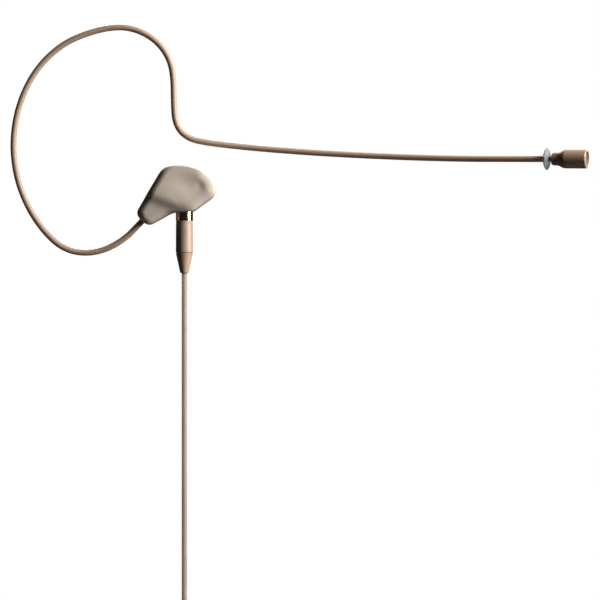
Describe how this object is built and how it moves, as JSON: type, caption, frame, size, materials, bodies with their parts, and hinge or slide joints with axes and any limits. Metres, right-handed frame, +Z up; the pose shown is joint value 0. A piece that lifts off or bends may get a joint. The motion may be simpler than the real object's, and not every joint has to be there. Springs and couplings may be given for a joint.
{
  "type": "headset microphone",
  "caption": "Single-ear headset microphone: bent wire ear hook and long thin boom, miniature capsule with drip ring, soft ear pad with a socket, and a thin detachable cable.",
  "frame": {"origin": "underside of the hook's crown, where the wire rests on the top of the ear", "axes": "+X along the boom towards the mouth, +Z up as worn, -Y towards the wearer's head"},
  "size_m": [0.1515, 0.0348, 0.2437],
  "materials": {
    "wire_skin": "satin plastic jacket, tan brown",
    "capillary_steel": "darkened steel",
    "lead_insulation": "plain plastic insulation",
    "ferrule_metal": "nickel plated brass, satin",
    "clear_silicone": "translucent elastomer",
    "boot_rubber": "dark brown rubber, slightly rough",
    "capsule_paint": "satin brown coating",
    "mesh_steel": "bright woven steel",
    "felt": "pale felt",
    "seal_rubber": "black rubber",
    "can_metal": "plain metal can",
    "film": "metallised film",
    "white_insulator": "white fluoropolymer",
    "board": "green circuit board",
    "chip": "black moulded package",
    "pad_silicone": "matt soft silicone, warm grey beige",
    "core_plastic": "moulded plastic",
    "gold": "polished gold plating",
    "sleeve_paint": "satin beige coating",
    "cone_rubber": "matt beige moulded rubber",
    "cable_skin": "soft matt cable jacket, grey beige",
    "tie_strap": "black woven hook and loop strap",
    "connector_nickel": "satin nickel",
    "black_insulator": "black moulded plastic",
    "black_rubber": "black rubber"
  },
  "bodies": {
    "headset": {"boom_jacket": "wire_skin", "boom_tube": "capillary_steel", "boom_lead": "lead_insulation", "anchor_ferrule": "ferrule_metal", "capsule_boot": "boot_rubber", "capsule_housing": "capsule_paint", "element_gasket": "seal_rubber", "element_can": "can_metal", "diaphragm_ring": "ferrule_metal", "diaphragm": "film", "element_spacer": "film", "backplate": "ferrule_metal", "backplate_holder": "white_insulator", "element_board": "board", "element_fet": "chip", "capsule_leads": "lead_insulation", "ear_pad": "pad_silicone", "core_front": "core_plastic", "core_back": "core_plastic", "socket_shell": "gold", "ground_tag": "ferrule_metal", "socket_nut": "ferrule_metal", "socket_insulator": "white_insulator", "socket_contact": "gold", "socket_leads": "lead_insulation"},
    "drip_ring": {"drip_ring": "clear_silicone"},
    "cap": {"front_cap": "capsule_paint", "front_mesh": "mesh_steel", "cap_felt": "felt"},
    "plug": {"plug_pin": "gold", "plug_insulator": "white_insulator", "plug_seal": "seal_rubber", "plug_body": "ferrule_metal", "crimp_ferrule": "ferrule_metal", "cable_boot": "cone_rubber", "cable_drop": "cable_skin", "cable_coil": "cable_skin", "cable_tail": "cable_skin", "coil_tie": "tie_strap", "connector_shell": "connector_nickel", "connector_insert": "black_insulator", "connector_contacts": "gold", "connector_leads": "lead_insulation", "cable_clamp": "white_insulator", "connector_backshell": "connector_nickel", "connector_boot": "black_rubber"},
    "sleeve": {"coupling_sleeve": "sleeve_paint"},
    "latch": {"latch_button": "black_insulator", "latch_spring": "mesh_steel"}
  },
  "joints": [
    {"name": "ring_slide", "type": "slide", "parent": "headset", "child": "drip_ring", "axis": [0.9313, -0.3633, -0.0251], "range_m": [-0.008, 0]},
    {"name": "cap_pull", "type": "slide", "parent": "headset", "child": "cap", "axis": [0.9313, -0.3633, -0.0251], "range_m": [0, 0.0045]},
    {"name": "plug_draw", "type": "slide", "parent": "headset", "child": "plug", "axis": [0, 0, -1], "range_m": [0, 0.0024]},
    {"name": "sleeve_turn", "type": "hinge", "parent": "plug", "child": "sleeve", "pos_m": [0.0169, 0, -0.055], "axis": [0, 0, -1], "range_deg": [0, 1440]},
    {"name": "latch_press", "type": "slide", "parent": "plug", "child": "latch", "axis": [0, 1, 0], "range_m": [0, 0.0007], "stiffness_N_per_m": 600}
  ],
  "couplings": [
    {"joint": "sleeve_turn", "follows": "plug_draw", "rad_per_m": 10472}
  ]
}
